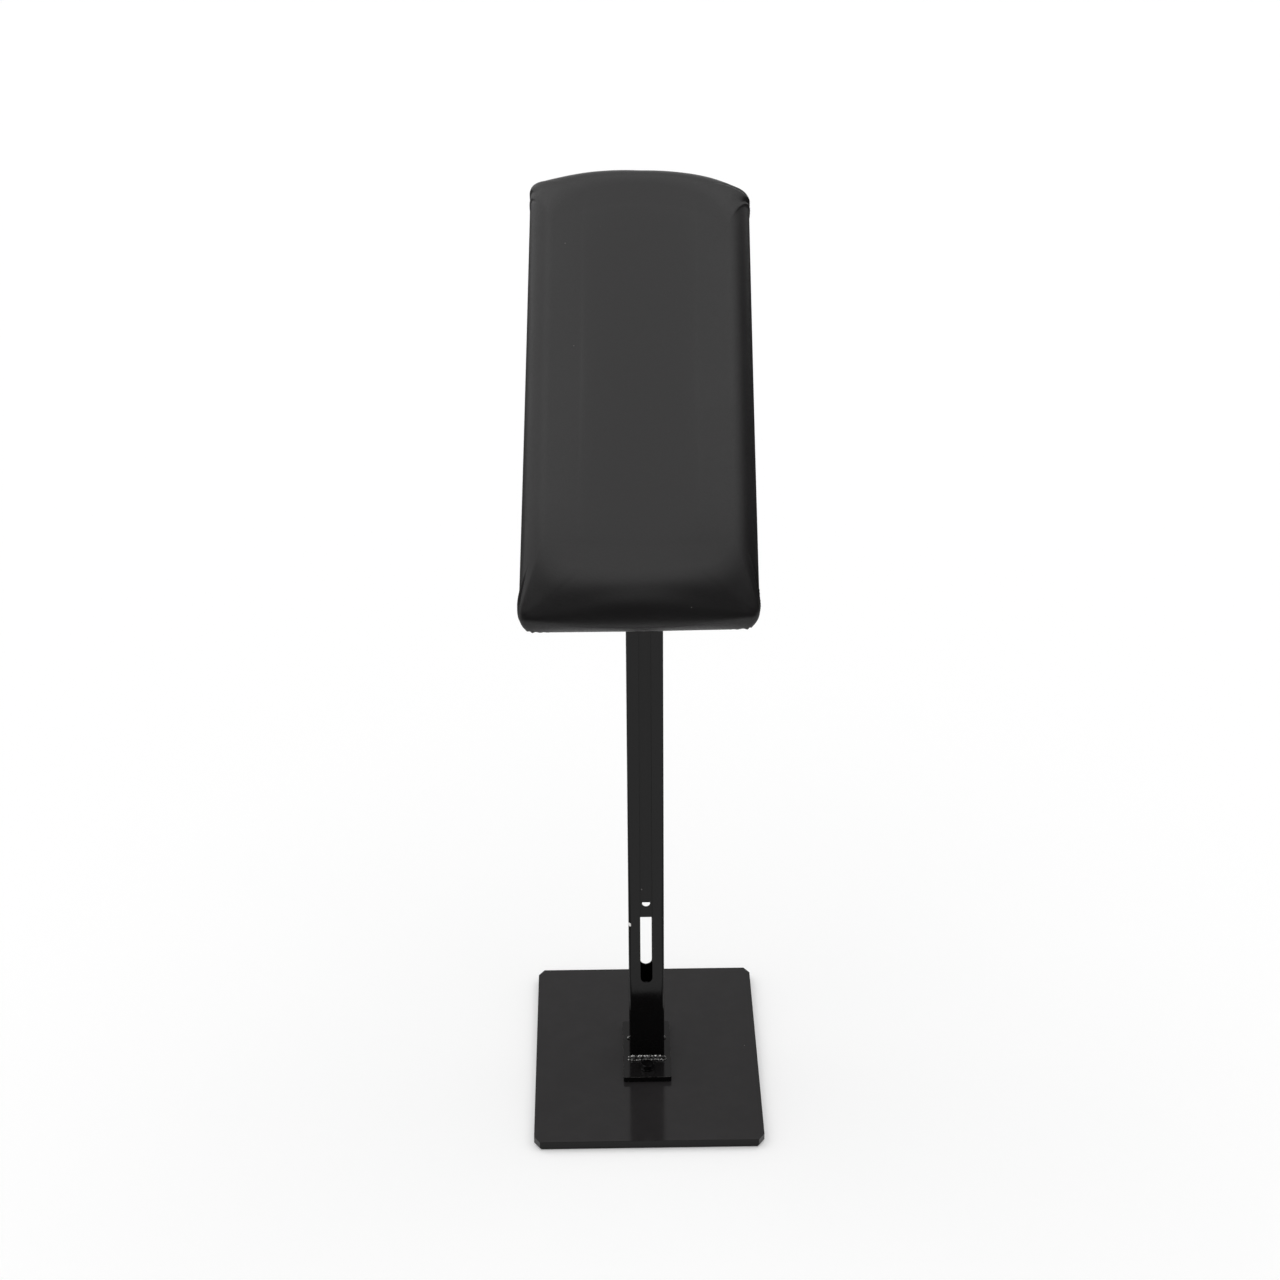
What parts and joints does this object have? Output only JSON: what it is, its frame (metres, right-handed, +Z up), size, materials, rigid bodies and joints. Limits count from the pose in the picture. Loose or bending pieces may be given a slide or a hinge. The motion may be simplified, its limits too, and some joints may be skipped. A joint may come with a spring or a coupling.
{
  "type": "tattoo arm rest stand",
  "caption": "Free-standing padded arm rest: a leather pad that tilts on a telescoping slotted square post, held by star knobs, over a heavy plate base.",
  "frame": {"origin": "on the floor, on the axis of the square post, at the underside of the rubber mat", "axes": "+Z up along the post, +X across the stand towards the tilt knob, +Y towards the height knob and the raised end of the pad"},
  "size_m": [0.192, 0.361, 0.759],
  "materials": {
    "rubber_mat": "matt ribbed rubber",
    "gloss_black_paint": "gloss black paint",
    "painted_weld": "weld bead under gloss black paint",
    "black_zinc": "black plated",
    "bright_zinc": "bright zinc plated",
    "black_plastic": "fine moulded texture",
    "brass_insert": "turned",
    "white_nylon": "smooth",
    "plywood": "raw plywood",
    "foam": "open-cell foam",
    "black_leather": "semi-matt grained leather",
    "black_felt": "non-woven felt"
  },
  "bodies": {
    "base": {"base_mat": "rubber_mat", "base_plate": "gloss_black_paint", "foot_plate": "gloss_black_paint", "foot_weld": "painted_weld", "foot_bolts": "black_zinc", "foot_washers": "black_zinc", "lower_tube": "gloss_black_paint", "guide_collar": "black_plastic"},
    "post": {"inner_tube": "gloss_black_paint", "tube_cap": "black_plastic", "clamp_bolt": "bright_zinc", "clamp_washers": "bright_zinc"},
    "height_knob": {"height_knob": "black_plastic", "height_knob_insert": "brass_insert"},
    "pad": {"pivot_bolt": "bright_zinc", "friction_washers": "white_nylon", "tilt_washer": "bright_zinc", "pad_bracket": "gloss_black_paint", "bracket_weld": "painted_weld", "bracket_plate": "gloss_black_paint", "plate_screws": "bright_zinc", "plate_washers": "bright_zinc", "tee_nuts": "bright_zinc", "pad_board": "plywood", "pad_foam": "foam", "pad_cover": "black_leather", "cover_staples": "bright_zinc", "dust_cover": "black_felt", "dust_staples": "bright_zinc"},
    "tilt_knob": {"tilt_knob": "black_plastic", "tilt_knob_insert": "brass_insert"}
  },
  "joints": [
    {"name": "height_slide", "type": "slide", "parent": "base", "child": "post", "axis": [0, 0, 1], "range_m": [-0.05, 0.045]},
    {"name": "height_knob_turn", "type": "hinge", "parent": "post", "child": "height_knob", "pos_m": [0, 0.0166, 0.44], "axis": [0, 1, 0], "range_deg": [0, 360]},
    {"name": "pad_tilt", "type": "hinge", "parent": "post", "child": "pad", "pos_m": [0, 0, 0.584], "axis": [1, 0, 0], "range_deg": [-92, 58]},
    {"name": "tilt_knob_turn", "type": "hinge", "parent": "pad", "child": "tilt_knob", "pos_m": [0.0186, 0, 0.584], "axis": [1, 0, 0], "range_deg": [0, 360]}
  ]
}
